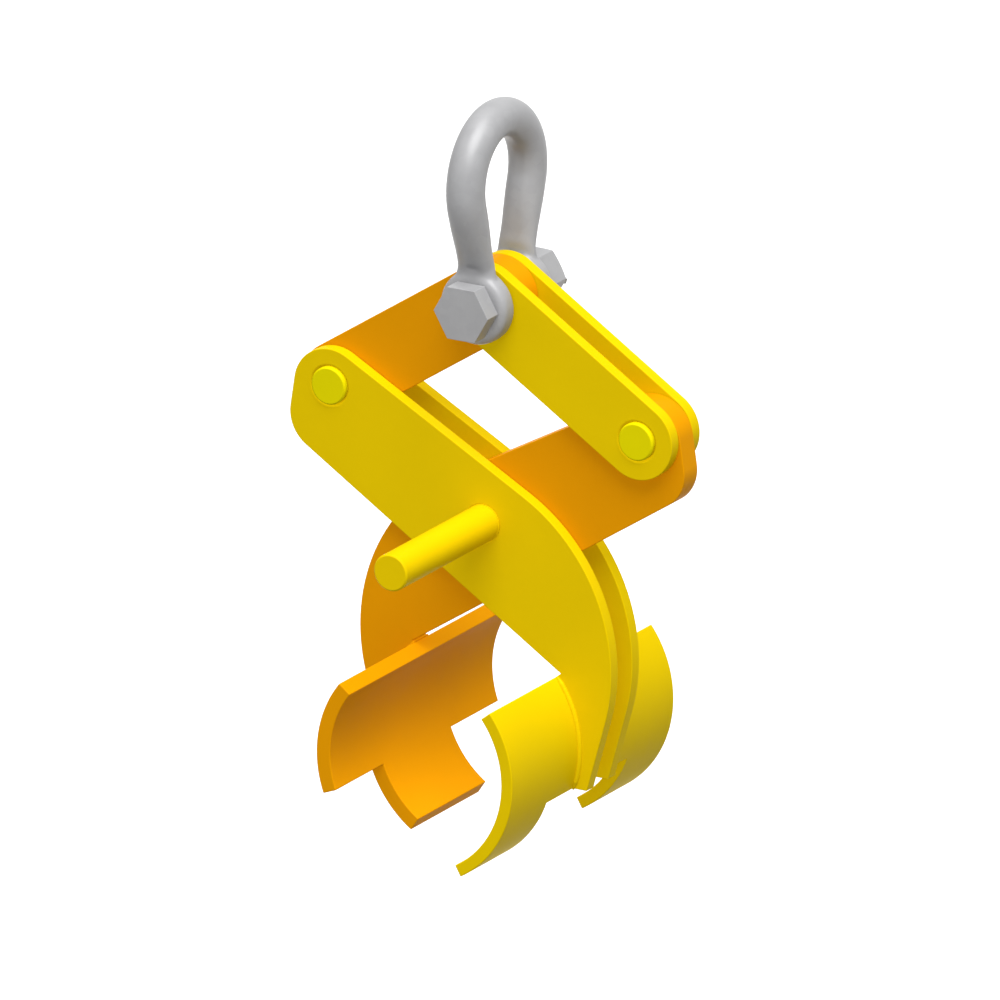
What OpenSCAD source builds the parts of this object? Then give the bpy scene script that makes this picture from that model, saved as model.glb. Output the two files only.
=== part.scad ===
// Scissor lifting tongs for round bars and pipes, hanging from a bow shackle.
// Frame: origin where the crane hook seats under the crown of the bow, +Z up,
// every pin along Y, the guide handle towards -Y, the opening of the jaws across X.
// The tongs are drawn closed on a bar: the two shells nearly share one centre.

/* [Linkage] */
// Distance between the two pivots of each of the four rhombus sides
side_len = 107; // [96:1:125]
// Angle of the four sides below the horizontal at rest
side_angle = 33; // [28:0.5:40]
// Thickness of each outer plate, two to a pair
outer_t = 7.2; // [6:0.2:12]
// Thickness of the single inner plates
inner_t = 13.6; // [8:0.2:16]
// Side play between an inner plate and each outer plate
side_play = 0.3; // [0.3:0.1:1]
// Radius of the rounded ends of the links
link_r = 20.4; // [19:0.2:24]

/* [Pins] */
// Diameter of the joint pins and of the main pivot pin
pin_d = 20; // [16:0.5:22]
// Outer diameter of the bushes in the inner plates
bush_d = 27; // [25:0.5:30]
// Clearance on radius where a bush turns on its pin
run_gap = 0.08; // [0.03:0.01:0.1]
// Clearance on radius of the bush on the main pivot
pivot_gap = 0.3; // [0.2:0.05:0.4]
// Height that each pin end stands out of its plate
pin_proud = 1.6; // [0.5:0.1:3]
// Chamfer on the rim of each pin end
pin_chamfer = 0.8; // [0.3:0.1:1.5]
// Width of the countersink round each pin end
sink_w = 1.2; // [0.8:0.1:2.5]
// Length of full diameter that stands out of the front plate before the guide handle
shoulder_w = 0.4; // [0.2:0.1:1]
// Free length of the guide handle in front of the plates
handle_len = 92; // [60:1:140]
// Step down on radius from the main pivot pin to the guide handle
handle_step = 0.25; // [0.2:0.05:1]
// Width of the relief groove between the pivot pin and the handle
relief_w = 1.2; // [0.8:0.1:3]

/* [Arms] */
// Distance from the line of the pivots down to the straight lower edge
arm_low = 36; // [32:0.2:38]
// Radius of the upper corner, round the end pin
arm_end_r = 21; // [20:0.2:24]
// Drop of the centre of that corner below the end pin
arm_end_drop = 1.6; // [0:0.1:3]
// Radius of the lower corner at the end of the arm
heel_r = 20; // [14:0.5:24]
// Place of the lower corner along the arm, measured from the end pin
heel_along = 6.4; // [2:0.2:12]
// Radius of the long curved back
back_r = 99; // [90:1:110]
// Height of the centre of the back above the centre of the jaw
back_rise = 43.2; // [36:0.2:50]
// Height of the rib over the back of the shell at its widest
rib_h = 18.5; // [14:0.1:24]
// Height of the rib over the back of the shell at its lower end
rib_tip_h = 8.5; // [6:0.5:12]

/* [Jaws] */
// Radius of the gripping face of each shell
jaw_in_r = 54; // [48:1:60]
// Thickness of the left shell
left_t = 8; // [6:0.5:10]
// Thickness of the right shell
right_t = 6.5; // [5:0.5:10]
// Width of the shells along the bar
jaw_w = 163; // [130:1:190]
// Drop of the centre of the shells below the main pivot
jaw_drop = 112; // [110:0.5:118]
// Distance of each centre past the middle plane
jaw_cross = 4; // [0:0.5:6]
// Angle of the upper edge of both shells above the horizontal
jaw_top_angle = 38.5; // [34:0.5:40]
// Angle of the two shoulders of the left shell below the horizontal
shoulder_angle = 20.5; // [14:0.5:28]
// Angle of the tip of the left tongue below the horizontal
tongue_angle = 56; // [48:0.5:60]
// Width of the tongue of the left shell
tongue_w = 68; // [50:1:74]
// Angle of the notch of the right shell below the horizontal
notch_angle = 20; // [12:0.5:24]
// Angle of the two tips of the right shell below the horizontal
fork_angle = 60; // [50:0.5:62]
// Side gap between the tongue and each prong of the fork
fork_gap = 6.5; // [6:0.5:18]
// Leg of the weld beads that hold the plates on the shells
weld = 2.5; // [1.5:0.5:4]

/* [Shackle] */
// Diameter of the bar of the bow
bow_d = 20; // [16:0.5:21]
// Clear width inside the bow
bow_clear_w = 42; // [40:0.5:52]
// Distance from the hook seat down to the axis of the bolt
bow_clear_h = 84; // [78:1:100]
// Thickness of each eye
eye_t = 10.3; // [8:0.1:14]
// Outer radius of each eye
eye_r = 19.5; // [16:0.5:21]
// Rounding of the outer rim of each eye
eye_round = 4; // [1:0.5:5]
// Height above the bolt at which the legs reach the middle of the eyes
leg_rise = 22; // [18:0.5:28]
// Side play between the plates and each eye
eye_play = 0.9; // [0.6:0.1:2]
// Clearance round the ends of the links inside the bow
link_clear = 2.5; // [1.5:0.5:4]
// Diameter of the plain shank of the bolt
bolt_d = 20; // [18:0.5:22]
// Diameter of the threaded end of the bolt
thread_d = 18; // [14:0.5:18]
// Width across the flats of the bolt head and the nut
hex_af = 27.5; // [26:0.5:32]
// Thickness of the bolt head
head_t = 10.5; // [8:0.5:14]
// Thickness of the nut
nut_t = 17.8; // [12:0.2:20]
// Length of thread past the nut
thread_tail = 7.5; // [6.5:0.5:12]
// Chamfer on the threaded end of the bolt
thread_chamfer = 1.5; // [0.5:0.5:2.5]
// Wire diameter of the split pin
cotter_d = 3.2; // [2.5:0.1:4]
// Play on diameter of the split pin in its hole
cotter_play = 0.3; // [0.1:0.1:0.6]
// Length of the bent ends of the split pin
cotter_leg = 4; // [3:0.5:6]

/* [Hidden] */
$fn = 96;

ORANGE = "#ce8a00";
YELLOW = "#d1b401";
STEEL = "#a8a8a8";
BRONZE = "#9c7a3c";
eps = 0.01;
// How far a cut runs past a face, and past an angle
past = 1;
past_angle = 10;

// Layers across Y: the pack of plates is symmetric about the middle plane
y_inner = inner_t / 2;
y_gap = y_inner + side_play;
y_outer = y_gap + outer_t;
y_eye = y_outer + eye_play;
y_head = y_eye + eye_t + run_gap;

// Pivots of the rhombus at rest, as [X, Z]
bolt_at = [0, -bow_clear_h];
left_at = bolt_at + side_len * [-cos(side_angle), -sin(side_angle)];
right_at = bolt_at + side_len * [cos(side_angle), -sin(side_angle)];
pivot_at = bolt_at + [0, -2 * side_len * sin(side_angle)];

// The right jaw and its arm, which the left one mirrors
arm_dir = [cos(side_angle), -sin(side_angle)];
arm_up = [sin(side_angle), cos(side_angle)];
jaw_at = pivot_at + [-jaw_cross, -jaw_drop];
end_at = left_at - [0, arm_end_drop];
heel_at = left_at + heel_along * arm_dir - (arm_low - heel_r) * arm_up;
fork_w = tongue_w + 2 * fork_gap;

// Bow: a bar bent round a circle and run tangent into the two eyes
bow_r = (bow_clear_w + bow_d) / 2;
bow_at = [0, -bow_r + bow_d / 2];
leg_at = [y_eye + eye_t / 2, bolt_at.y + leg_rise];
leg_span = [leg_at.x, bow_at.y - leg_at.y];
leg_lean = 90 - atan(leg_span.x / leg_span.y) - acos(bow_r / norm(leg_span));
leg_len = sqrt(leg_span * leg_span - bow_r * bow_r);
leg_tail = leg_rise * 2 / 3;
hex_r = hex_af / 2 / cos(30);
nut_y = y_head + nut_t;
cotter_y = nut_y + thread_tail / 2;
y_tip = nut_y + thread_tail;
// Turn of the split pin about the bolt, and spread of its bent ends
cotter_turn = -70;
cotter_spread = 55;

// Direction of a vector in degrees
function heading(v) = atan2(v.y, v.x);
// Unit vector of a direction
function unit(angle) = [cos(angle), sin(angle)];
// Direction of the contact radius of the tangent that runs above two circles, small one first
function over(c1, r1, c2, r2) = heading(c2 - c1) + acos((r1 - r2) / norm(c2 - c1));
// Direction of the contact radius of the tangent from a point that lies clockwise of a circle
function touch(p, c, r) = heading(p - c) + acos(r / norm(p - c));
// Where the line through p along u crosses the line through q along v
function crossing(p, u, q, v) = p + u * cross(q - p, v) / cross(u, v);

// A flat piece with a polygon outline, drawn in XZ, between two depths
module plate(points, y0, y1) {
    translate([0, y1, 0]) rotate([90, 0, 0]) linear_extrude(y1 - y0) polygon(points);
}

// A round bar along Y, at an [X, Z] place
module bar(at, d, y0, y1) {
    translate([at.x, y1, at.y]) rotate([90, 0, 0]) cylinder(d = d, h = y1 - y0);
}

// A plain bush along Y
module bush(at, bore, y0, y1) {
    difference() {
        bar(at, bush_d, y0, y1);
        bar(at, bore, y0 - eps, y1 + eps);
    }
}

// A cone along Y that widens from depth y0 to depth y1
module cone(at, r0, r1, y0, y1) {
    translate([at.x, 0, at.y]) rotate([90, 0, 0])
        rotate_extrude() polygon([[0, -y0], [r0, -y0], [r1, -y1], [0, -y1]]);
}

// A pin with chamfered ends
module pin(at, y0, y1) {
    c = pin_chamfer;
    r = pin_d / 2;
    translate([at.x, 0, at.y]) rotate([90, 0, 0]) rotate_extrude()
        polygon([[0, -y1], [r - c, -y1], [r, c - y1], [r, -y0 - c], [r - c, -y0], [0, -y0]]);
}

// Countersink round a pin end, in the face of a plate at depth y
module sink(at, y, side) {
    r = pin_d / 2;
    if (side < 0) cone(at, r + sink_w, r, y - eps, y + sink_w);
    if (side > 0) cone(at, r, r + sink_w, y - sink_w, y + eps);
}

// A flat link with two round ends of one radius
module link(p, q, r, y0, y1) {
    n = r * unit(heading(q - p) + 90);
    bar(p, 2 * r, y0, y1);
    bar(q, 2 * r, y0, y1);
    plate([p + n, q + n, q - n, p - n], y0, y1);
}

// The two round corners at the end of an arm, with the flat between them
module arm_end(y0, y1) {
    lean = acos((arm_end_r - heel_r) / norm(heel_at - end_at));
    out = unit(heading(heel_at - end_at) - lean);
    bar(end_at, 2 * arm_end_r, y0, y1);
    bar(heel_at, 2 * heel_r, y0, y1);
    plate([end_at, end_at + arm_end_r * out, heel_at + heel_r * out, heel_at], y0, y1);
}

// The right arm, from the end pin to the lower end of the rib behind a shell of radius r
module arm(r, y0, y1) {
    back_at = jaw_at + [r + rib_h - back_r, back_rise];
    rib_tip_at = jaw_at + [(r + rib_tip_h) * cos(notch_angle), -r * sin(notch_angle)];
    seat_low = crossing(rib_tip_at, [1, 0], jaw_at, unit(-notch_angle - past_angle / 2));
    over_a = over(end_at, arm_end_r, back_at, back_r);
    touch_a = touch(rib_tip_at, back_at, back_r);
    top = back_at + back_r * unit(over_a);
    low = back_at + back_r * unit(touch_a);
    heel_foot = heel_at - heel_r * arm_up;
    corner = crossing(heel_foot, arm_dir, jaw_at, unit(jaw_top_angle));
    seat_top = jaw_at + r * unit(jaw_top_angle);
    seat_mid = jaw_at + jaw_in_r * unit((jaw_top_angle - notch_angle) / 2);
    difference() {
        union() {
            arm_end(y0, y1);
            plate([
                end_at, end_at + arm_end_r * unit(over_a), top, low,
                rib_tip_at, seat_low, jaw_at, heel_foot, heel_at
            ], y0, y1);
            intersection() {
                bar(back_at, 2 * back_r, y0, y1);
                plate([
                    back_at,
                    for (a = [over_a, (over_a + touch_a) / 2, touch_a]) back_at + 2 * back_r * unit(a)
                ], y0, y1);
            }
        }
        shell_slice(0, r, -notch_angle - past_angle, jaw_top_angle, 4 * y_outer);
        plate([
            heel_foot, corner, seat_top, seat_mid, jaw_at - r * arm_up, heel_foot - r * arm_up
        ], y0 - past, y1 + past);
    }
}

// A slice of the shell, between two angles and over a width along the bar
module shell_slice(r0, r1, a0, a1, w) {
    translate([jaw_at.x, 0, jaw_at.y]) rotate([90, 0, 0]) rotate([0, 0, a0])
        rotate_extrude(angle = a1 - a0) translate([r0, -w / 2]) square([r1 - r0, w]);
}

// Weld bead where the face of a plate at depth y meets the back of a shell of radius r
module bead(r, y, side) {
    translate([jaw_at.x, 0, jaw_at.y]) rotate([90, 0, 0]) rotate([0, 0, -notch_angle])
        rotate_extrude(angle = notch_angle + jaw_top_angle)
            polygon([[r, -y], [r + weld, -y], [r, -y - side * weld]]);
}

// Shackle

// One leg of the bow with its eye, on the +Y side. It reaches just inside the end of the bend
module bow_leg() {
    translate([0, leg_at.x, leg_at.y]) rotate([-leg_lean, 0, 0]) translate([0, 0, -leg_tail])
        cylinder(d = bow_d - 0.1, h = leg_len + leg_tail + 0.8);
    translate([0, 0, bolt_at.y]) rotate([-90, 0, 0]) rotate_extrude() polygon(eye_section());
}

// Half section of an eye, with its outer rim rounded
function eye_section() = [
    [0, y_eye], [eye_r, y_eye],
    for (i = [0:4]) [eye_r - eye_round, y_eye + eye_t - eye_round] + eye_round * unit(i * 22.5),
    [0, y_eye + eye_t]
];

module shackle_bow() {
    color(STEEL) difference() {
        union() {
            translate([0, 0, bow_at.y]) rotate([90, 0, 90]) rotate([0, 0, -leg_lean])
                rotate_extrude(angle = 180 + 2 * leg_lean) translate([bow_r, 0]) circle(d = bow_d);
            bow_leg();
            mirror([0, 1, 0]) bow_leg();
        }
        bar(bolt_at, 2 * (link_r + link_clear), -y_eye, y_eye);
        bar(bolt_at, 2 * eye_r, y_eye + eye_t, y_eye + 2 * bow_d);
        bar(bolt_at, 2 * eye_r, -y_eye - 2 * bow_d, -y_eye - eye_t);
        bar(bolt_at, bolt_d + 2 * run_gap, -y_head - past, y_head + past);
    }
}

module shackle_bolt() {
    color(STEEL) difference() {
        union() {
            translate([0, -y_head, bolt_at.y]) rotate([90, 0, 0]) cylinder(r = hex_r, h = head_t, $fn = 6);
            bar(bolt_at, bolt_d, -y_head - eps, y_head);
            bar(bolt_at, thread_d, y_head - past, y_tip - thread_chamfer);
            cone(bolt_at, thread_d / 2, thread_d / 2 - thread_chamfer, y_tip - thread_chamfer, y_tip);
        }
        split_pin_axis() cylinder(d = cotter_d + cotter_play, h = 2 * bolt_d, center = true);
    }
}

module shackle_nut() {
    color(STEEL) difference() {
        translate([0, nut_y, bolt_at.y]) rotate([90, 0, 0]) cylinder(r = hex_r, h = nut_t, $fn = 6);
        bar(bolt_at, thread_d, y_head - past, nut_y + past);
    }
}

// Places a piece on the axis of the split pin, its eye towards -X
module split_pin_axis() {
    translate([0, cotter_y, bolt_at.y]) rotate([0, cotter_turn, 0]) children();
}

module shackle_split_pin() {
    out = thread_d / 2 + 0.6;
    ring_r = cotter_d * 1.05;
    wire = cotter_d * 0.5;
    neck = thread_d / 2 + wire + 0.2;
    color("silver") split_pin_axis() {
        translate([0, 0, -out - 1.5]) cylinder(d = cotter_d, h = out + 1.5 + neck);
        translate([0, 0, neck + ring_r]) rotate([90, 0, 0]) rotate_extrude()
            translate([ring_r, 0]) circle(wire, $fn = 24);
        for (s = [-1, 1])
            translate([0, 0, -out]) rotate([s * cotter_spread, 0, 0]) translate([0, 0, -cotter_leg])
                cylinder(d = cotter_d * 0.62, h = cotter_leg, $fn = 24);
    }
}

// Left link: one inner plate between bolt and left pin

module link_left() {
    color(ORANGE) difference() {
        link(bolt_at, left_at, link_r, -y_inner, y_inner);
        bar(bolt_at, bush_d, -y_outer, y_outer);
        bar(left_at, bush_d, -y_outer, y_outer);
    }
}

module link_left_bolt_bush() {
    color(BRONZE) bush(bolt_at, bolt_d + 2 * run_gap, -y_gap + run_gap, y_gap - run_gap);
}

module link_left_pin_bush() {
    color(BRONZE) bush(left_at, pin_d + 2 * run_gap, -y_gap + run_gap, y_gap - run_gap);
}

// Right link: a pair of outer plates between bolt and right pin

module link_right_plate(y0, y1, side) {
    color(YELLOW) difference() {
        link(bolt_at, right_at, link_r, y0, y1);
        bar(bolt_at, bush_d, -2 * y_outer, 2 * y_outer);
        bar(right_at, pin_d, -2 * y_outer, 2 * y_outer);
        sink(right_at, side * y_outer, side);
    }
}

module link_right_front() {
    link_right_plate(-y_outer, -y_gap, -1);
}

module link_right_back() {
    link_right_plate(y_gap, y_outer, 1);
}

module link_right_bolt_bushes() {
    color(BRONZE) {
        bush(bolt_at, bolt_d + 2 * run_gap, -y_outer, -y_gap);
        bush(bolt_at, bolt_d + 2 * run_gap, y_gap, y_outer);
    }
}

module link_right_pin() {
    color(YELLOW) pin(right_at, -y_outer - pin_proud, y_outer + pin_proud);
}

// Left jaw: one inner arm plate with its shell and central tongue

module arm_left_plate() {
    color(ORANGE) difference() {
        mirror([1, 0, 0]) arm(jaw_in_r + left_t, -y_inner, y_inner);
        bar(right_at, bush_d, -y_outer, y_outer);
        bar(pivot_at, bush_d, -y_outer, y_outer);
    }
}

module arm_left_pin_bush() {
    color(BRONZE) bush(right_at, pin_d + 2 * run_gap, -y_gap + run_gap, y_gap - run_gap);
}

module arm_left_pivot_bush() {
    color(BRONZE) bush(pivot_at, pin_d + 2 * pivot_gap, -y_gap + run_gap, y_gap - run_gap);
}

module arm_left_welds() {
    color(ORANGE) mirror([1, 0, 0]) {
        bead(jaw_in_r + left_t, -y_inner, -1);
        bead(jaw_in_r + left_t, y_inner, 1);
    }
}

module jaw_left() {
    out_r = jaw_in_r + left_t;
    side_w = jaw_w - tongue_w;
    color(ORANGE) mirror([1, 0, 0]) difference() {
        shell_slice(jaw_in_r, out_r, -tongue_angle, jaw_top_angle, jaw_w);
        for (s = [-1, 1])
            translate([0, s * jaw_w / 2, 0])
                shell_slice(
                    jaw_in_r - past, out_r + past, -tongue_angle - past_angle, -shoulder_angle, side_w
                );
    }
}

// Right jaw: a pair of outer arm plates with their shell, forked at the bottom

module arm_right_plate(y0, y1, side) {
    color(YELLOW) difference() {
        arm(jaw_in_r + right_t, y0, y1);
        bar(left_at, pin_d, -2 * y_outer, 2 * y_outer);
        bar(pivot_at, pin_d, -2 * y_outer, 2 * y_outer);
        sink(left_at, side * y_outer, side);
        if (side > 0) sink(pivot_at, side * y_outer, side);
    }
}

module arm_right_front() {
    arm_right_plate(-y_outer, -y_gap, -1);
}

module arm_right_back() {
    arm_right_plate(y_gap, y_outer, 1);
}

module arm_right_pin() {
    color(YELLOW) pin(left_at, -y_outer - pin_proud, y_outer + pin_proud);
}

module arm_right_welds() {
    color(YELLOW) {
        bead(jaw_in_r + right_t, -y_outer, -1);
        bead(jaw_in_r + right_t, y_outer, 1);
    }
}

module jaw_right() {
    out_r = jaw_in_r + right_t;
    color(YELLOW) difference() {
        shell_slice(jaw_in_r, out_r, -fork_angle, jaw_top_angle, jaw_w);
        shell_slice(jaw_in_r - past, out_r + past, -fork_angle - past_angle, -notch_angle, fork_w);
    }
}

module pivot_pin_and_handle() {
    c = pin_chamfer;
    r = pin_d / 2;
    shoulder = y_outer + shoulder_w;
    tip = y_outer + handle_len;
    color(YELLOW) translate([pivot_at.x, 0, pivot_at.y]) rotate([90, 0, 0]) rotate_extrude() polygon([
        [0, -y_outer - pin_proud], [r - c, -y_outer - pin_proud], [r, c - y_outer - pin_proud],
        [r, shoulder], [r - 2 * handle_step, shoulder], [r - 2 * handle_step, shoulder + relief_w],
        [r - handle_step, shoulder + relief_w], [r - handle_step, tip - c],
        [r - handle_step - c, tip], [0, tip]
    ]);
}

shackle_bow();
shackle_bolt();
shackle_nut();
shackle_split_pin();
link_left();
link_left_bolt_bush();
link_left_pin_bush();
link_right_front();
link_right_back();
link_right_bolt_bushes();
link_right_pin();
arm_left_plate();
arm_left_pin_bush();
arm_left_pivot_bush();
arm_left_welds();
jaw_left();
arm_right_front();
arm_right_back();
arm_right_pin();
arm_right_welds();
jaw_right();
pivot_pin_and_handle();
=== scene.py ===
"""Looks of the scissor lifting tongs: painted plates, jaw shells, pins and a forged bow shackle."""

import math

import bmesh
import bpy
from mathutils import Matrix, Vector


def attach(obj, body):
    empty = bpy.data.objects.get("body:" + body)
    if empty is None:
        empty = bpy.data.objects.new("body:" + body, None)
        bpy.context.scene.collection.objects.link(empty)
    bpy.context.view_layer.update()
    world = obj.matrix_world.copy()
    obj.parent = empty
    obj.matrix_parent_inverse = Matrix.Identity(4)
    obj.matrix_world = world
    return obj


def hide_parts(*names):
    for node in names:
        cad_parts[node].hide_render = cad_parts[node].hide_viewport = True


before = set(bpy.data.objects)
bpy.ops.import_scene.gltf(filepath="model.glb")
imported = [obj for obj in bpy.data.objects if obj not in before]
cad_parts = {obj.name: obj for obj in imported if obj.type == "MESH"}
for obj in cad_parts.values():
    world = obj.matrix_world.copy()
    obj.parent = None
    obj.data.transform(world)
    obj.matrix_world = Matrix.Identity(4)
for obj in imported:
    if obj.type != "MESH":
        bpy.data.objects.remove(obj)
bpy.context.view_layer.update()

MM = 0.001

# Linkage, in millimetres and degrees
SIDE_LEN = 107.0
SIDE_ANGLE = 33.0
BOW_CLEAR_H = 84.0
Y_INNER = 6.8
Y_GAP = 7.1
Y_OUTER = 14.3
Y_EYE = 15.2

# Pins and bushes
PIN_R = 10.0
PIN_PROUD = 1.6
PIN_CHAMFER = 0.8
BUSH_R = 13.5
RUN_GAP = 0.08
PIVOT_GAP = 0.3
HANDLE_R = 9.75
HANDLE_LEN = 92.0
RELIEF_R = 2 * HANDLE_R - PIN_R
RELIEF_W = 1.2
SHOULDER = 0.4

# Jaws: both are drawn as the right one, and the left one is mirrored
JAW_IN_R = 54.0
LEFT_T = 8.0
RIGHT_T = 6.5
JAW_W = 163.0
JAW_DROP = 112.0
JAW_CROSS = 4.0
JAW_TOP = 38.5
SHOULDER_ANGLE = 20.5
TONGUE_ANGLE = 56.0
TONGUE_W = 68.0
NOTCH_ANGLE = 20.0
FORK_ANGLE = 60.0
FORK_W = 81.0
WELD = 2.5

# Bow of the shackle
BOW_D = 20.0
BOW_CLEAR_W = 42.0
EYE_T = 10.3
EYE_R = 19.5
EYE_ROUND = 4.0
EYE_ROUND_STEP = 18
LEG_RISE = 22.0
LINK_CLEAR_R = 22.9
FORGED_VOXEL = 0.62
FORGED_SMOOTHING = 36
# Its legs drawn flat into the eyes: share of a leg's length, then thickness and width against the bar
LEG_DRAW = (
    (0.1, 1.0, 1.0),
    (0.25, 0.97, 1.0),
    (0.4, 0.9, 1.0),
    (0.55, 0.8, 1.0),
    (0.7, 0.69, 1.0),
    (0.85, 0.58, 1.02),
    (1.0, 0.52, 1.05),
    (1.12, 0.5, 1.12),
    (1.35, 0.5, 1.25),
)

# Bolt, nut and split pin
BOLT_R = 10.0
BOLT_LEAD = 0.4
THREAD_R = 9.0
THREAD_PITCH = 2.5
THREAD_DEPTH = 1.0
THREAD_SLOPE = 2.6
THREAD_RING = 0.14
THREAD_TIP = 1.5
THREAD_TAIL = 7.5
HEX_AF = 27.5
HEAD_T = 10.5
NUT_T = 17.8
NUT_CORNER = 0.2
NUT_CONE = 68.0
NUT_MOUTH = 1.2
NUT_PLAY = 0.02
SPLIT_PIN_R = 1.6
SPLIT_PIN_PLAY = 0.15
SPLIT_PIN_TURN = -70.0
SPLIT_PIN_BEND = 60.0
SPLIT_PIN_TAIL = 2.0

# Places that follow from the sizes
BOLT = Vector((0.0, -BOW_CLEAR_H))
SIDE_TURN = math.radians(SIDE_ANGLE)
LEFT_PIN = BOLT + SIDE_LEN * Vector((-math.cos(SIDE_TURN), -math.sin(SIDE_TURN)))
RIGHT_PIN = Vector((-LEFT_PIN.x, LEFT_PIN.y))
PIVOT = Vector((0.0, 2 * LEFT_PIN.y - BOLT.y))
JAW = Vector((PIVOT.x - JAW_CROSS, PIVOT.y - JAW_DROP))
Y_HEAD = Y_EYE + EYE_T + RUN_GAP
Y_NUT = Y_HEAD + NUT_T
HEX_R = HEX_AF / 2 / math.cos(math.radians(30))

# Widths of the rounds on sharp edges
PLATE_ROUND = 0.45
SHELL_ROUND = 0.5
PIN_ROUND = 0.2
BUSH_ROUND = 0.25
HEAD_ROUND = 0.35
NUT_ROUND = 0.3

# Meshing
MERGE = 0.002
SAME_PLANE = math.radians(0.4)
SHARP = math.radians(30)
SMOOTH = math.radians(40)
FORGED_SMOOTH = math.radians(50)
SPIN_STEP = 1.5


# Modelling helpers


def alone(piece):
    """Leaves piece as the only selected object, in object mode."""
    if bpy.context.object and bpy.context.object.mode != "OBJECT":
        bpy.ops.object.mode_set(mode="OBJECT")
    bpy.ops.object.select_all(action="DESELECT")
    piece.select_set(True)
    bpy.context.view_layer.objects.active = piece


def settled(name):
    """Names the primitive that was just added and moves its place into its mesh."""
    piece = bpy.context.object
    piece.name = name
    piece.data.name = name
    bpy.ops.object.transform_apply(location=True, rotation=True, scale=True)
    return piece


def edit(piece, kind="FACE", action="SELECT"):
    """Opens piece in edit mode with all of it selected, or none of it."""
    alone(piece)
    bpy.ops.object.mode_set(mode="EDIT")
    bpy.ops.mesh.select_mode(type=kind)
    bpy.ops.mesh.select_all(action=action)


def pick_faces(piece, wanted):
    """Selects, in edit mode, each face for whose middle in millimetres wanted holds."""
    edit(piece, action="DESELECT")
    mesh = bmesh.from_edit_mesh(piece.data)
    for face in mesh.faces:
        face.select_set(wanted(face.calc_center_median() / MM))
    mesh.select_flush_mode()
    bmesh.update_edit_mesh(piece.data)


def apply_modifier(piece, kind, **settings):
    """Adds one modifier to piece and applies it."""
    alone(piece)
    bpy.ops.object.modifier_add(type=kind)
    modifier = piece.modifiers[-1]
    for key, value in settings.items():
        setattr(modifier, key, value)
    bpy.ops.object.modifier_apply(modifier=modifier.name)


def clean(piece):
    """Merges doubles and points every face outwards."""
    edit(piece)
    bpy.ops.mesh.remove_doubles(threshold=MERGE * MM)
    bpy.ops.mesh.normals_make_consistent(inside=False)
    bpy.ops.object.mode_set(mode="OBJECT")


def soften(piece, width, segments=3):
    """Rounds every sharp edge of piece by a width in millimetres."""
    edit(piece, "EDGE", "DESELECT")
    bpy.ops.mesh.edges_select_sharp(sharpness=SHARP)
    bpy.ops.mesh.bevel(
        offset=width * MM, segments=segments, profile=0.5, affect="EDGES", clamp_overlap=True
    )
    bpy.ops.object.mode_set(mode="OBJECT")


def shade(piece):
    """Smooth shading that keeps large faces flat."""
    alone(piece)
    bpy.ops.object.shade_smooth_by_angle(angle=SMOOTH)
    apply_modifier(piece, "WEIGHTED_NORMAL", mode="FACE_AREA", weight=50, keep_sharp=True)


def cut(piece, cutter, operation="DIFFERENCE"):
    """Combines piece with a cutter, which is then deleted."""
    apply_modifier(piece, "BOOLEAN", operation=operation, solver="EXACT", object=cutter)
    bpy.data.objects.remove(cutter)


def merged_copy(node, name):
    """A copy of a CAD node with its loose triangles merged back into whole faces."""
    alone(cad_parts[node])
    bpy.ops.object.duplicate()
    piece = bpy.context.object
    piece.name = name
    piece.data.name = name
    piece.parent = None
    for key in list(piece.keys()):
        del piece[key]
    edit(piece)
    bpy.ops.mesh.remove_doubles(threshold=MERGE * MM)
    bpy.ops.mesh.dissolve_limited(angle_limit=SAME_PLANE)
    bpy.ops.object.mode_set(mode="OBJECT")
    return piece


def turned(name, at, profile, around=128, bored=False):
    """A turned piece along Y: (depth, radius) steps, extruded and scaled one after the other.

    A bored piece's profile runs round its whole section, back to where it began."""
    depth, radius = profile[0]
    bpy.ops.object.select_all(action="DESELECT")
    bpy.ops.mesh.primitive_circle_add(
        vertices=around,
        radius=radius * MM,
        fill_type="NOTHING" if bored else "NGON",
        location=(at.x * MM, depth * MM, at.y * MM),
        rotation=(math.pi / 2, math.pi / 2, 0),
    )
    piece = settled(name)
    edit(piece, "EDGE" if bored else "FACE")
    for next_depth, next_radius in profile[1:]:
        move = {"value": (0, (next_depth - depth) * MM, 0)}
        if bored:
            bpy.ops.mesh.extrude_edges_move(TRANSFORM_OT_translate=move)
        else:
            bpy.ops.mesh.extrude_region_move(TRANSFORM_OT_translate=move)
        grow = next_radius / radius
        middle = (at.x * MM, next_depth * MM, at.y * MM)
        bpy.ops.transform.resize(value=(grow, 1, grow), center_override=middle)
        depth, radius = next_depth, next_radius
    bpy.ops.object.mode_set(mode="OBJECT")
    clean(piece)
    return piece


def mirrored(piece):
    """Turns a right-hand piece into the left-hand one."""
    edit(piece)
    bpy.ops.transform.resize(value=(-1, 1, 1), center_override=(0, 0, 0))
    bpy.ops.object.mode_set(mode="OBJECT")
    clean(piece)


def joined(pieces):
    """Joins pieces into the first of them."""
    alone(pieces[0])
    for piece in pieces:
        piece.select_set(True)
    if len(pieces) > 1:
        bpy.ops.object.join()
    return pieces[0]


def fitted(piece, body, slot, material, *nodes):
    """Hangs a finished piece on its body in place of its CAD nodes, with its finish."""
    piece.data.materials.clear()
    piece.data.materials.append(material)
    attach(piece, body)
    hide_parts(*nodes)


# Finishes


class Wire:
    """A node's output. Arithmetic on it adds Math nodes."""

    def __init__(self, finish, socket):
        self.finish = finish
        self.socket = socket

    def __add__(self, other):
        return self.finish.math("ADD", self, other)

    def __mul__(self, other):
        return self.finish.math("MULTIPLY", self, other)

    __radd__ = __add__
    __rmul__ = __mul__


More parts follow.
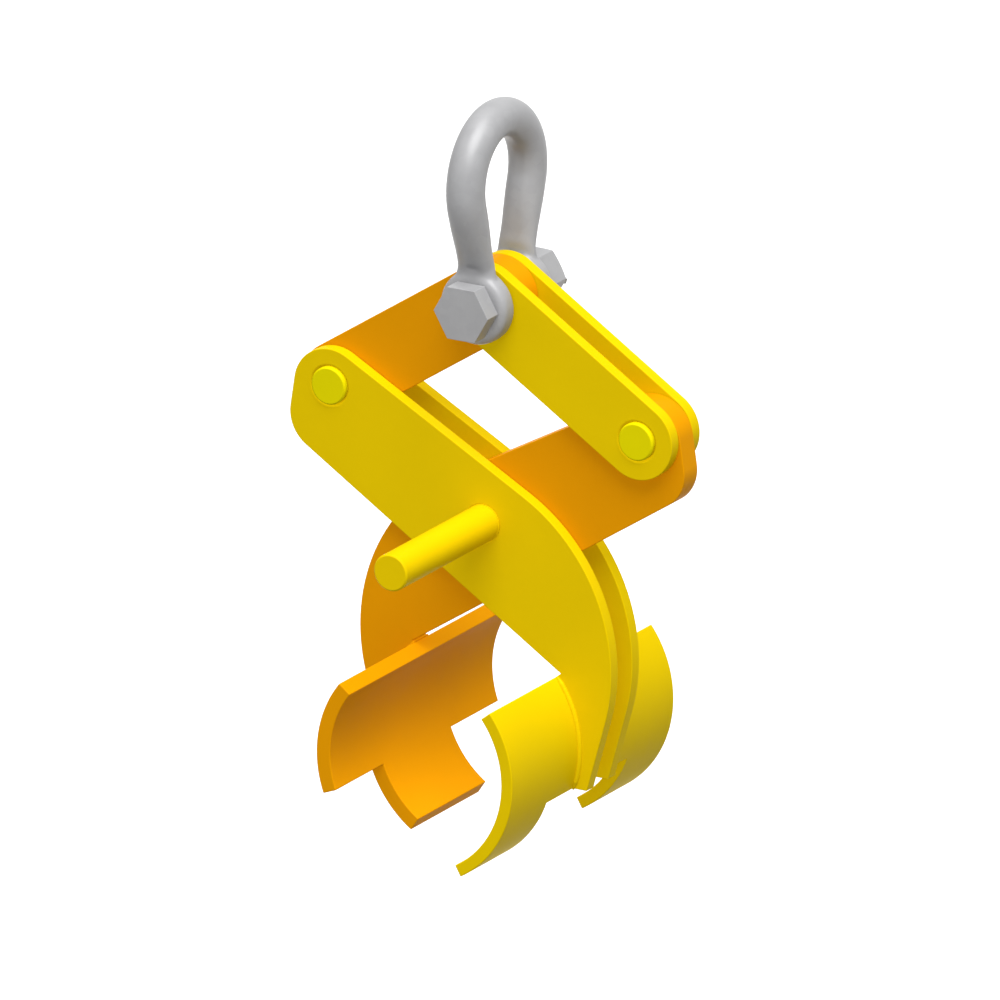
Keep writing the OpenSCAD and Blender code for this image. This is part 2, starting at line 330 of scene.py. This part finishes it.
class Finish:
    """A material under construction around one Principled shader."""

    def __init__(self, name, **fixed):
        self.material = bpy.data.materials.new(name)
        self.material.use_nodes = True
        self.tree = self.material.node_tree
        self.tree.nodes.clear()
        self.shader = self.tree.nodes.new("ShaderNodeBsdfPrincipled")
        output = self.tree.nodes.new("ShaderNodeOutputMaterial")
        self.tree.links.new(self.shader.outputs[0], output.inputs["Surface"])
        for key, value in fixed.items():
            self.shader.inputs[key.replace("_", " ")].default_value = value
        self.place = self.node("ShaderNodeTexCoord", output="Object")

    def node(self, kind, settings=None, inputs=None, output=0):
        """Adds a node: its settings first, then the values or links of its sockets."""
        made = self.tree.nodes.new(kind)
        for key, value in (settings or {}).items():
            setattr(made, key, value)
        for key, value in (inputs or {}).items():
            if isinstance(value, Wire):
                self.tree.links.new(value.socket, made.inputs[key])
            else:
                made.inputs[key].default_value = value
        return Wire(self, made.outputs[output])

    def math(self, operation, one, other):
        return self.node("ShaderNodeMath", {"operation": operation}, {0: one, 1: other})

    def noise(self, scale, detail=2.0, rough=0.5):
        inputs = {"Vector": self.place, "Scale": scale, "Detail": detail, "Roughness": rough}
        return self.node("ShaderNodeTexNoise", {}, inputs)

    def spread(self, value, low, high):
        """Stretches the part of a value between low and high to 0 to 1."""
        return self.node("ShaderNodeMapRange", {}, {"Value": value, "From Min": low, "From Max": high})

    def blend(self, factor, one, other):
        """A mix of two colours."""
        return self.node("ShaderNodeMix", {"data_type": "RGBA"}, {0: factor, 6: one, 7: other}, output=2)

    def bump(self, height, distance, normal=None):
        inputs = {"Height": height, "Distance": distance, "Strength": 1.0}
        if normal:
            inputs["Normal"] = normal
        return self.node("ShaderNodeBump", {}, inputs)

    def feed(self, key, wire):
        self.tree.links.new(wire.socket, self.shader.inputs[key])


def tint(colour, factor):
    """A linear colour made lighter or darker."""
    return tuple(min(1.0, channel * factor) for channel in colour[:3]) + (1.0,)


def paint(name, colour):
    """Satin paint on steel plate: hardly any gloss, faint orange peel, slightly uneven colour."""
    coat = Finish(name, Specular_IOR_Level=0.015)
    cloudy = coat.spread(coat.noise(22.0, 3.0), 0.3, 0.7)
    streaky = coat.noise(140.0, 4.0, 0.6)
    shift = cloudy * 0.6 + streaky * 0.4
    coat.feed("Base Color", coat.blend(shift, tint(colour, 0.965), tint(colour, 1.03)))
    coat.feed("Roughness", 0.4 + 0.08 * cloudy + 0.05 * streaky)
    peel = coat.bump(coat.noise(520.0, 1.0), 0.006 * MM)
    waves = coat.bump(coat.noise(90.0, 1.0), 0.02 * MM, peel)
    coat.feed("Normal", waves)
    return coat.material


def galvanised():
    """Forged steel with a dull zinc coat: soft spangle and a slightly rough skin."""
    zinc = Finish("galvanised_steel", Specular_IOR_Level=0.2, Metallic=0.08)
    cells = zinc.node(
        "ShaderNodeTexVoronoi",
        {"feature": "F1"},
        {"Vector": zinc.place, "Scale": 210.0, "Randomness": 1.0},
        output="Color",
    )
    flake = zinc.node("ShaderNodeSeparateColor", {}, {"Color": cells}, output=0)
    cloud = zinc.spread(zinc.noise(60.0, 3.0), 0.3, 0.7)
    shift = flake * 0.35 + cloud * 0.65
    zinc.feed("Base Color", zinc.blend(shift, (0.31, 0.31, 0.317, 1), (0.36, 0.36, 0.367, 1)))
    zinc.feed("Roughness", 0.32 + 0.07 * cloud + 0.07 * flake)
    skin = zinc.bump(zinc.noise(330.0, 3.0), 0.012 * MM)
    zinc.feed("Normal", zinc.bump(zinc.noise(70.0, 2.0), 0.05 * MM, skin))
    return zinc.material


def bronze():
    """Bearing bronze, unevenly dulled, with a finely machined skin."""
    metal = Finish("bearing_bronze", Metallic=0.9)
    cloud = metal.noise(160.0, 3.0)
    metal.feed("Base Color", metal.blend(cloud, (0.33, 0.19, 0.065, 1), (0.5, 0.33, 0.12, 1)))
    metal.feed("Roughness", 0.32 + 0.2 * cloud)
    marks = metal.noise(1500.0, 2.0)
    metal.feed("Normal", metal.bump(marks, 0.004 * MM))
    return metal.material


YELLOW = paint("yellow_paint", (0.725, 0.515, 0.001, 1))
LEMON = paint("yellow_pin_paint", (0.7, 0.62, 0.001, 1))
ORANGE = paint("orange_paint", (0.71, 0.29, 0.001, 1))
ZINC = galvanised()
BRONZE = bronze()


# Plates


def plate(node, body, slot, material):
    """A flame-cut plate with its edges broken."""
    piece = merged_copy(node, node + "_painted")
    soften(piece, PLATE_ROUND)
    shade(piece)
    fitted(piece, body, slot, material, node)


plate("link_left", "link_left", "orange_paint", ORANGE)
plate("link_right_front", "link_right", "yellow_paint", YELLOW)
plate("link_right_back", "link_right", "yellow_paint", YELLOW)
plate("arm_left_plate", "arm_left", "orange_paint", ORANGE)
plate("arm_right_front", "arm_right", "yellow_paint", YELLOW)
plate("arm_right_back", "arm_right", "yellow_paint", YELLOW)


# Pins and bushes


def pin(name, at, node, body):
    """A joint pin whose chamfered ends stand out of the plates."""
    end = Y_OUTER + PIN_PROUD
    profile = [
        (-end, PIN_R - PIN_CHAMFER),
        (PIN_CHAMFER - end, PIN_R),
        (end - PIN_CHAMFER, PIN_R),
        (end, PIN_R - PIN_CHAMFER),
    ]
    piece = turned(name, at, profile)
    soften(piece, PIN_ROUND, 2)
    shade(piece)
    fitted(piece, body, "yellow_paint", LEMON, node)


def handle():
    """The main pivot pin, which runs on in front as the guide handle."""
    end = Y_OUTER + PIN_PROUD
    step = Y_OUTER + SHOULDER
    tip = Y_OUTER + HANDLE_LEN
    profile = [
        (end, PIN_R - PIN_CHAMFER),
        (end - PIN_CHAMFER, PIN_R),
        (-step, PIN_R),
        (-step, RELIEF_R),
        (-step - RELIEF_W, RELIEF_R),
        (-step - RELIEF_W, HANDLE_R),
        (PIN_CHAMFER - tip, HANDLE_R),
        (-tip, HANDLE_R - PIN_CHAMFER),
    ]
    piece = turned("guide_handle_painted", PIVOT, profile)
    soften(piece, PIN_ROUND, 2)
    shade(piece)
    fitted(piece, "arm_right", "yellow_paint", YELLOW, "pivot_pin_and_handle")


def bush(name, at, bore, spans):
    """Plain bushes on one axis: rings with their mouths broken."""
    rings = []
    for low, high in spans:
        profile = [(low, bore), (low, BUSH_R), (high, BUSH_R), (high, bore), (low, bore)]
        ring = turned(name, at, profile, bored=True)
        soften(ring, BUSH_ROUND, 2)
        rings.append(ring)
    piece = joined(rings)
    shade(piece)
    return piece


pin("left_pin_painted", LEFT_PIN, "arm_right_pin", "arm_right")
pin("right_pin_painted", RIGHT_PIN, "link_right_pin", "link_right")
handle()

INNER_SPAN = [(RUN_GAP - Y_GAP, Y_GAP - RUN_GAP)]
OUTER_SPANS = [(-Y_OUTER, -Y_GAP), (Y_GAP, Y_OUTER)]
for node, body, at, bore, spans in (
    ("link_left_bolt_bush", "link_left", BOLT, BOLT_R + RUN_GAP, INNER_SPAN),
    ("link_left_pin_bush", "link_left", LEFT_PIN, PIN_R + RUN_GAP, INNER_SPAN),
    ("link_right_bolt_bushes", "link_right", BOLT, BOLT_R + RUN_GAP, OUTER_SPANS),
    ("arm_left_pin_bush", "arm_left", RIGHT_PIN, PIN_R + RUN_GAP, INNER_SPAN),
    ("arm_left_pivot_bush", "arm_left", PIVOT, PIN_R + PIVOT_GAP, INNER_SPAN),
):
    fitted(bush(node + "_bronze", at, bore, spans), body, "bronze", BRONZE, node)


# Jaw shells and their welds


def spun(angle):
    """Spins the selected faces about the jaw's axis by an angle downwards, in small steps."""
    bpy.ops.mesh.spin(
        steps=round(abs(angle) / SPIN_STEP),
        angle=math.radians(angle),
        center=(JAW.x * MM, 0, JAW.y * MM),
        axis=(0, -1, 0),
    )


def shell(name, thick, split, first, last, middle):
    """A shell rolled to the bar: full width for the first angle, then its middle or its two sides."""
    out_r = JAW_IN_R + thick
    mid_r = (JAW_IN_R + out_r) / 2
    top = math.radians(JAW_TOP)
    at = JAW + mid_r * Vector((math.cos(top), math.sin(top)))
    bpy.ops.object.select_all(action="DESELECT")
    bpy.ops.mesh.primitive_plane_add(size=1, location=(at.x * MM, 0, at.y * MM), rotation=(0, -top, 0))
    bpy.context.object.scale = (thick * MM, JAW_W * MM, 1)
    piece = settled(name)
    edit(piece)
    for side in (-1, 1):
        bpy.ops.mesh.bisect(plane_co=(0, side * split / 2 * MM, 0), plane_no=(0, 1, 0))
        bpy.ops.mesh.select_all(action="SELECT")
    spun(JAW_TOP + first)
    turn = math.radians(-first)
    reach = Vector((math.cos(turn), math.sin(turn)))
    off_end = 0.2

    def is_next(place):
        off = Vector((place.x, place.z)) - JAW
        at_end = abs(off.x * reach.y - off.y * reach.x) < off_end and off.dot(reach) > 0
        return at_end and (abs(place.y) < split / 2) == middle

    pick_faces(piece, is_next)
    spun(last - first)
    bpy.ops.object.mode_set(mode="OBJECT")
    clean(piece)
    soften(piece, SHELL_ROUND)
    shade(piece)
    return piece


def bead(name, back_r, depth, side):
    """One weld bead: a small round spun along the seat, then rippled and tapered ring by ring."""
    core_r = 0.6 * WELD
    off_seat = 0.12 * WELD
    ripples = 34
    ripple_height = 0.04
    ripple_drift, drift_turns = 0.25, 47.0
    end_size, end_growth = 0.35, 9.0
    low = math.radians(-NOTCH_ANGLE)
    span = math.radians(JAW_TOP + NOTCH_ANGLE)
    start_r = back_r + off_seat
    start = JAW + start_r * Vector((math.cos(low + span), math.sin(low + span)))
    core_y = (depth + side * off_seat) * MM
    bpy.ops.object.select_all(action="DESELECT")
    bpy.ops.mesh.primitive_circle_add(
        vertices=14,
        radius=core_r * MM,
        fill_type="NGON",
        location=(start.x * MM, core_y, start.y * MM),
        rotation=(0, -low - span, 0),
    )
    piece = settled(name)
    edit(piece)
    bpy.ops.mesh.spin(steps=130, angle=span, center=(JAW.x * MM, 0, JAW.y * MM), axis=(0, -1, 0))
    bpy.ops.object.mode_set(mode="OBJECT")
    clean(piece)
    for vertex in piece.data.vertices:
        off = Vector((vertex.co.x / MM - JAW.x, vertex.co.z / MM - JAW.y))
        along = (math.atan2(off.y, off.x) - low) / span
        wave = along * ripples + ripple_drift * math.sin(along * drift_turns)
        size = 1 - ripple_height + ripple_height * abs(math.sin(math.pi * wave))
        size *= min(1.0, end_size + end_growth * min(along, 1 - along))
        mid = JAW + start_r * off.normalized()
        core = Vector((mid.x * MM, core_y, mid.y * MM))
        vertex.co = core + (vertex.co - core) * size
    return piece


def beads(name, thick, depth):
    """The two beads that hold a pair of faces on the back of a shell."""
    first = bead(name, JAW_IN_R + thick, -depth, -1)
    second = bead(name + "_b", JAW_IN_R + thick, depth, 1)
    return joined([first, second])


left_shell = shell("jaw_left_painted", LEFT_T, TONGUE_W, SHOULDER_ANGLE, TONGUE_ANGLE, True)
mirrored(left_shell)
shade(left_shell)
fitted(left_shell, "arm_left", "orange_paint", ORANGE, "jaw_left")
right_shell = shell("jaw_right_painted", RIGHT_T, FORK_W, NOTCH_ANGLE, FORK_ANGLE, False)
fitted(right_shell, "arm_right", "yellow_paint", YELLOW, "jaw_right")

left_beads = beads("arm_left_welds_painted", LEFT_T, Y_INNER)
mirrored(left_beads)
shade(left_beads)
fitted(left_beads, "arm_left", "orange_paint", ORANGE, "arm_left_welds")
right_beads = beads("arm_right_welds_painted", RIGHT_T, Y_OUTER)
shade(right_beads)
fitted(right_beads, "arm_right", "yellow_paint", YELLOW, "arm_right_welds")


# Shackle


def bow():
    """The forged bow: a bar spun round the crown, drawn down its legs and blended into the eyes."""
    bow_r = (BOW_CLEAR_W + BOW_D) / 2
    crown = BOW_D / 2 - bow_r
    foot = Vector((Y_EYE + EYE_T / 2, BOLT.y + LEG_RISE))
    span = Vector((foot.x, crown - foot.y))
    lean = math.radians(90) - math.atan(span.x / span.y) - math.acos(bow_r / span.length)
    leg_len = math.sqrt(span.length_squared - bow_r * bow_r)
    start = Vector((bow_r * math.cos(-lean), crown + bow_r * math.sin(-lean)))
    down = Vector((-math.sin(lean), -math.cos(lean)))
    near = 0.5
    bpy.ops.object.select_all(action="DESELECT")
    bpy.ops.mesh.primitive_circle_add(
        vertices=64,
        radius=BOW_D / 2 * MM,
        fill_type="NGON",
        location=(0, start.x * MM, start.y * MM),
        rotation=(-lean, 0, 0),
    )
    piece = settled("shackle_bow_forged")
    edit(piece)
    bpy.ops.mesh.spin(steps=96, angle=math.pi + 2 * lean, center=(0, 0, crown * MM), axis=(-1, 0, 0))
    for side in (1, -1):

        def is_end(place):
            return (Vector((place.y * side, place.z)) - start).length < near

        pick_faces(piece, is_end)
        middle = start
        flat, wide = 1.0, 1.0
        for share, next_flat, next_wide in LEG_DRAW:
            target = start + down * leg_len * share
            if share > 1:
                target = foot - Vector((0, leg_len * (share - 1)))
            step = target - middle
            bpy.ops.mesh.extrude_region_move(
                TRANSFORM_OT_translate={"value": (0, side * step.x * MM, step.y * MM)}
            )
            bpy.ops.transform.resize(
                value=(next_wide / wide, next_flat / flat, 1),
                center_override=(0, side * target.x * MM, target.y * MM),
            )
            middle, flat, wide = target, next_flat, next_wide
    bpy.ops.object.mode_set(mode="OBJECT")
    clean(piece)
    add_eyes(piece)
    apply_modifier(piece, "REMESH", mode="VOXEL", voxel_size=FORGED_VOXEL * MM, adaptivity=0.0)
    apply_modifier(piece, "SMOOTH", factor=0.5, iterations=FORGED_SMOOTHING)
    bore_r = BOLT_R + RUN_GAP
    cut(piece, turned("bore", BOLT, [(-2 * Y_HEAD, bore_r), (2 * Y_HEAD, bore_r)]))
    alone(piece)
    bpy.ops.object.shade_smooth_by_angle(angle=FORGED_SMOOTH)
    fitted(piece, "shackle", "galvanised", ZINC, "shackle_bow")


def add_eyes(piece):
    """Joins a rounded eye to each leg of the bow, and trims the legs to the faces of the eyes."""
    for side in (1, -1):
        near = side * Y_EYE
        far = side * (Y_EYE + EYE_T)
        profile = [(near, EYE_R), (far - side * EYE_ROUND, EYE_R)]
        for turn in range(EYE_ROUND_STEP, 90 + EYE_ROUND_STEP, EYE_ROUND_STEP):
            angle = math.radians(turn)
            depth = far - side * EYE_ROUND * (1 - math.sin(angle))
            profile.append((depth, EYE_R - EYE_ROUND * (1 - math.cos(angle))))
        cut(piece, turned("eye", BOLT, profile), "UNION")
    cut(piece, turned("gap", BOLT, [(-Y_EYE, LINK_CLEAR_R), (Y_EYE, LINK_CLEAR_R)]))
    for side in (1, -1):
        face = side * (Y_EYE + EYE_T)
        outside = [(face, LINK_CLEAR_R), (face + side * BOW_D, LINK_CLEAR_R)]
        cut(piece, turned("outside", BOLT, outside))


def thread(name, start, end):
    """The threaded end: rings of a long cylinder moved in and out along a helix, with a cone at the tip."""
    length = end - start
    rings = round(length / THREAD_RING)
    profile = [(start + length * i / rings, THREAD_R) for i in range(rings + 1)]
    piece = turned(name, BOLT, profile, around=72)
    for vertex in piece.data.vertices:
        off = Vector((vertex.co.x / MM - BOLT.x, vertex.co.z / MM - BOLT.y))
        depth = vertex.co.y / MM
        phase = (depth / THREAD_PITCH + math.atan2(off.y, off.x) / (2 * math.pi)) % 1.0
        groove = max(0.0, 1 - abs(phase - 0.5) * THREAD_SLOPE) * THREAD_DEPTH
        limit = THREAD_R - max(0.0, depth - (end - THREAD_TIP))
        radius = min(THREAD_R - groove, limit)
        off = off.normalized() * radius
        vertex.co.x = (BOLT.x + off.x) * MM
        vertex.co.z = (BOLT.y + off.y) * MM
    return piece


def bolt():
    """The shackle bolt: hexagon head, plain shank, threaded end drilled for the split pin."""
    piece = turned("shackle_bolt_forged", BOLT, [(-Y_HEAD, HEX_R), (-Y_HEAD - HEAD_T, HEX_R)], around=6)
    soften(piece, HEAD_ROUND)
    into_head = 0.5
    into_shank = 1.0
    profile = [(-Y_HEAD - into_head, BOLT_R), (Y_HEAD - BOLT_LEAD, BOLT_R), (Y_HEAD, BOLT_R - BOLT_LEAD)]
    cut(piece, turned("shank", BOLT, profile), "UNION")
    cut(piece, thread("screw", Y_HEAD - into_shank, Y_NUT + THREAD_TAIL), "UNION")
    bpy.ops.object.select_all(action="DESELECT")
    bpy.ops.mesh.primitive_cylinder_add(
        vertices=48,
        radius=(SPLIT_PIN_R + SPLIT_PIN_PLAY) * MM,
        depth=4 * BOLT_R * MM,
        location=(BOLT.x * MM, (Y_NUT + THREAD_TAIL / 2) * MM, BOLT.y * MM),
        rotation=(0, math.radians(SPLIT_PIN_TURN), 0),
    )
    cut(piece, settled("drill"))
    shade(piece)
    fitted(piece, "bolt", "galvanised", ZINC, "shackle_bolt")


def nut():
    """The hexagon nut, with the corners off its outer face and the mouth of its bore opened."""
    piece = turned("shackle_nut_forged", BOLT, [(Y_HEAD, HEX_R), (Y_NUT, HEX_R)], around=6)
    flare = 4.0
    narrow = HEX_AF / 2 - NUT_CORNER
    wide = narrow + flare * math.tan(math.radians(NUT_CONE))
    cone = [(Y_NUT, narrow), (Y_NUT - flare, wide), (Y_NUT - 2 * NUT_T, wide)]
    cut(piece, turned("cone", BOLT, cone), "INTERSECT")
    bore_r = THREAD_R + NUT_PLAY
    mouth_r = THREAD_R + NUT_MOUTH
    below, past = 1.0, 0.3
    hole = [(Y_HEAD - below, bore_r), (Y_NUT + past - NUT_MOUTH, bore_r), (Y_NUT + past, mouth_r)]
    cut(piece, turned("hole", BOLT, hole))
    soften(piece, NUT_ROUND, 2)
    shade(piece)
    fitted(piece, "bolt", "galvanised", ZINC, "shackle_nut")


def split_pin_leg(side, top, bottom):
    """One half-round leg of the split pin, straight through the bolt and bent out below it."""
    apart = 0.06
    stem_r = 0.93 * SPLIT_PIN_R
    bend_r = SPLIT_PIN_R + 0.6
    bend = math.radians(SPLIT_PIN_BEND)
    tail = Vector((0, side * math.sin(bend), -math.cos(bend))) * SPLIT_PIN_TAIL * MM
    bpy.ops.object.select_all(action="DESELECT")
    bpy.ops.mesh.primitive_circle_add(
        vertices=24, radius=stem_r * MM, fill_type="NGON", location=(0, side * apart * MM, top * MM)
    )
    piece = settled("leg")
    edit(piece)
    bpy.ops.mesh.bisect(
        plane_co=(0, side * apart / 2 * MM, 0), plane_no=(0, side, 0), clear_inner=True, use_fill=False
    )
    bpy.ops.mesh.select_all(action="SELECT")
    bpy.ops.mesh.extrude_region_move(TRANSFORM_OT_translate={"value": (0, 0, -(top + bottom) * MM)})
    bpy.ops.mesh.spin(
        steps=8, angle=bend, center=(0, side * bend_r * MM, -bottom * MM), axis=(-side, 0, 0)
    )
    bpy.ops.mesh.extrude_region_move(TRANSFORM_OT_translate={"value": tuple(tail)})
    bpy.ops.object.mode_set(mode="OBJECT")
    clean(piece)
    return piece


def split_pin():
    """The split pin: an eye, a double stem through the bolt and two legs bent apart."""
    base = Vector((BOLT.x, Y_NUT + THREAD_TAIL / 2, BOLT.y)) * MM
    ring_r = 2 * SPLIT_PIN_R * 1.05
    neck = THREAD_R + SPLIT_PIN_R + 0.2
    into_ring = 0.3
    below_bolt = THREAD_R + 0.6
    bpy.ops.object.select_all(action="DESELECT")
    bpy.ops.mesh.primitive_torus_add(
        major_segments=40,
        minor_segments=16,
        major_radius=ring_r * MM,
        minor_radius=SPLIT_PIN_R * MM,
        location=(0, 0, (neck + ring_r) * MM),
        rotation=(math.pi / 2, 0, 0),
    )
    ring = settled("split_pin_wire")
    legs = [split_pin_leg(side, neck - into_ring, below_bolt) for side in (-1, 1)]
    piece = joined([ring] + legs)
    turn = Matrix.Rotation(math.radians(SPLIT_PIN_TURN), 4, "Y")
    piece.data.transform(Matrix.Translation(base) @ turn)
    shade(piece)
    fitted(piece, "bolt", "galvanised", ZINC, "shackle_split_pin")


bow()
bolt()
nut()
split_pin()


# Stage, light and camera, with lengths in metres

WHITE = (1.0, 1.0, 1.0, 1.0)
FLOOR_SEEN = (0.88, 0.88, 0.88, 1.0)
FLOOR_BOUNCE = (0.25, 0.25, 0.25, 1.0)
FLOOR_SIZE = 16.0
FLOOR_Z = -0.95
SKY_LEVEL = 0.3
LAMP_ANGLE = 50.0
KEY_LEVEL = 2.2
FILL_LEVEL = 2.75
KEY_FROM = Vector((0.28, -0.345, 0.896))
BACK_LEVEL = 1.3
BACK_FROM = Vector((-0.45, 0.89, 0.0))
VIEW_AZIMUTH = 30.3
VIEW_ELEVATION = 18.4
VIEW_FAR = 14.0
VIEW_WIDTH = 0.50403
# The middle of the view, in millimetres to the right of the bolt and below it
VIEW_RIGHT = 1.613
VIEW_DOWN = 102.82


def seen_directly(tree):
    """1 for a ray from the camera, a gloss or a clear body, and 0 for light on its way round."""
    path = tree.nodes.new("ShaderNodeLightPath")
    total = path.outputs["Is Camera Ray"]
    for key in ("Is Glossy Ray", "Is Transmission Ray"):
        either = tree.nodes.new("ShaderNodeMath")
        either.operation = "MAXIMUM"
        tree.links.new(total, either.inputs[0])
        tree.links.new(path.outputs[key], either.inputs[1])
        total = either.outputs[0]
    return total


def two_sided_look(owner, kind, output, seen, lighting):
    """Gives a material or world one shader where it is seen and another where it lights."""
    owner.use_nodes = True
    tree = owner.node_tree
    tree.nodes.clear()
    mix = tree.nodes.new("ShaderNodeMixShader")
    tree.links.new(seen_directly(tree), mix.inputs[0])
    for place, values in ((1, lighting), (2, seen)):
        shader = tree.nodes.new(kind)
        for key, value in values.items():
            shader.inputs[key].default_value = value
        tree.links.new(shader.outputs[0], mix.inputs[place])
    tree.links.new(mix.outputs[0], tree.nodes.new(output).inputs["Surface"])


def floor():
    """A plain pale floor far below the hanging tongs."""
    bpy.ops.object.select_all(action="DESELECT")
    bpy.ops.mesh.primitive_plane_add(size=FLOOR_SIZE, location=(0, 0, FLOOR_Z))
    piece = settled("floor")
    material = bpy.data.materials.new("pale_floor")
    two_sided_look(
        material,
        "ShaderNodeBsdfDiffuse",
        "ShaderNodeOutputMaterial",
        seen={"Color": FLOOR_SEEN},
        lighting={"Color": FLOOR_BOUNCE},
    )
    piece.data.materials.append(material)


def sky():
    """An even world: white where it is seen, dimmer where it lights."""
    world = bpy.data.worlds.new("studio")
    bpy.context.scene.world = world
    two_sided_look(
        world,
        "ShaderNodeBackground",
        "ShaderNodeOutputWorld",
        seen={"Color": WHITE, "Strength": 1.0},
        lighting={"Color": WHITE, "Strength": SKY_LEVEL},
    )


def lamp(name, level, came_from, shadow, gloss):
    """A very soft distant lamp."""
    bpy.ops.object.light_add(type="SUN", location=came_from)
    piece = bpy.context.object
    piece.name = name
    piece.data.energy = level
    piece.data.angle = math.radians(LAMP_ANGLE)
    piece.data.use_shadow = shadow
    piece.visible_glossy = gloss
    piece.rotation_euler = came_from.to_track_quat("Z", "Y").to_euler()


def camera():
    """A long lens from the photograph's side: a nearly parallel view."""
    azimuth = math.radians(VIEW_AZIMUTH)
    elevation = math.radians(VIEW_ELEVATION)
    right = Vector((math.cos(azimuth), math.sin(azimuth), 0))
    back = Vector(
        (
            math.sin(azimuth) * math.cos(elevation),
            -math.cos(azimuth) * math.cos(elevation),
            math.sin(elevation),
        )
    )
    up = back.cross(right)
    target = Vector((BOLT.x, 0, BOLT.y)) * MM + right * VIEW_RIGHT * MM - up * VIEW_DOWN * MM
    bpy.ops.object.camera_add()
    piece = bpy.context.object
    turn = Matrix((right, up, back)).transposed()
    piece.matrix_world = Matrix.Translation(target + back * VIEW_FAR) @ turn.to_4x4()
    piece.data.sensor_width = 36.0
    piece.data.lens = piece.data.sensor_width * VIEW_FAR / VIEW_WIDTH
    piece.data.clip_start = 0.1
    piece.data.clip_end = 100.0
    bpy.context.scene.camera = piece


floor()
sky()
lamp("softbox", KEY_LEVEL, KEY_FROM, True, True)
lamp("fill", FILL_LEVEL, KEY_FROM, False, True)
lamp("back_light", BACK_LEVEL, BACK_FROM, True, False)
camera()
bpy.context.scene.view_settings.view_transform = "Standard"
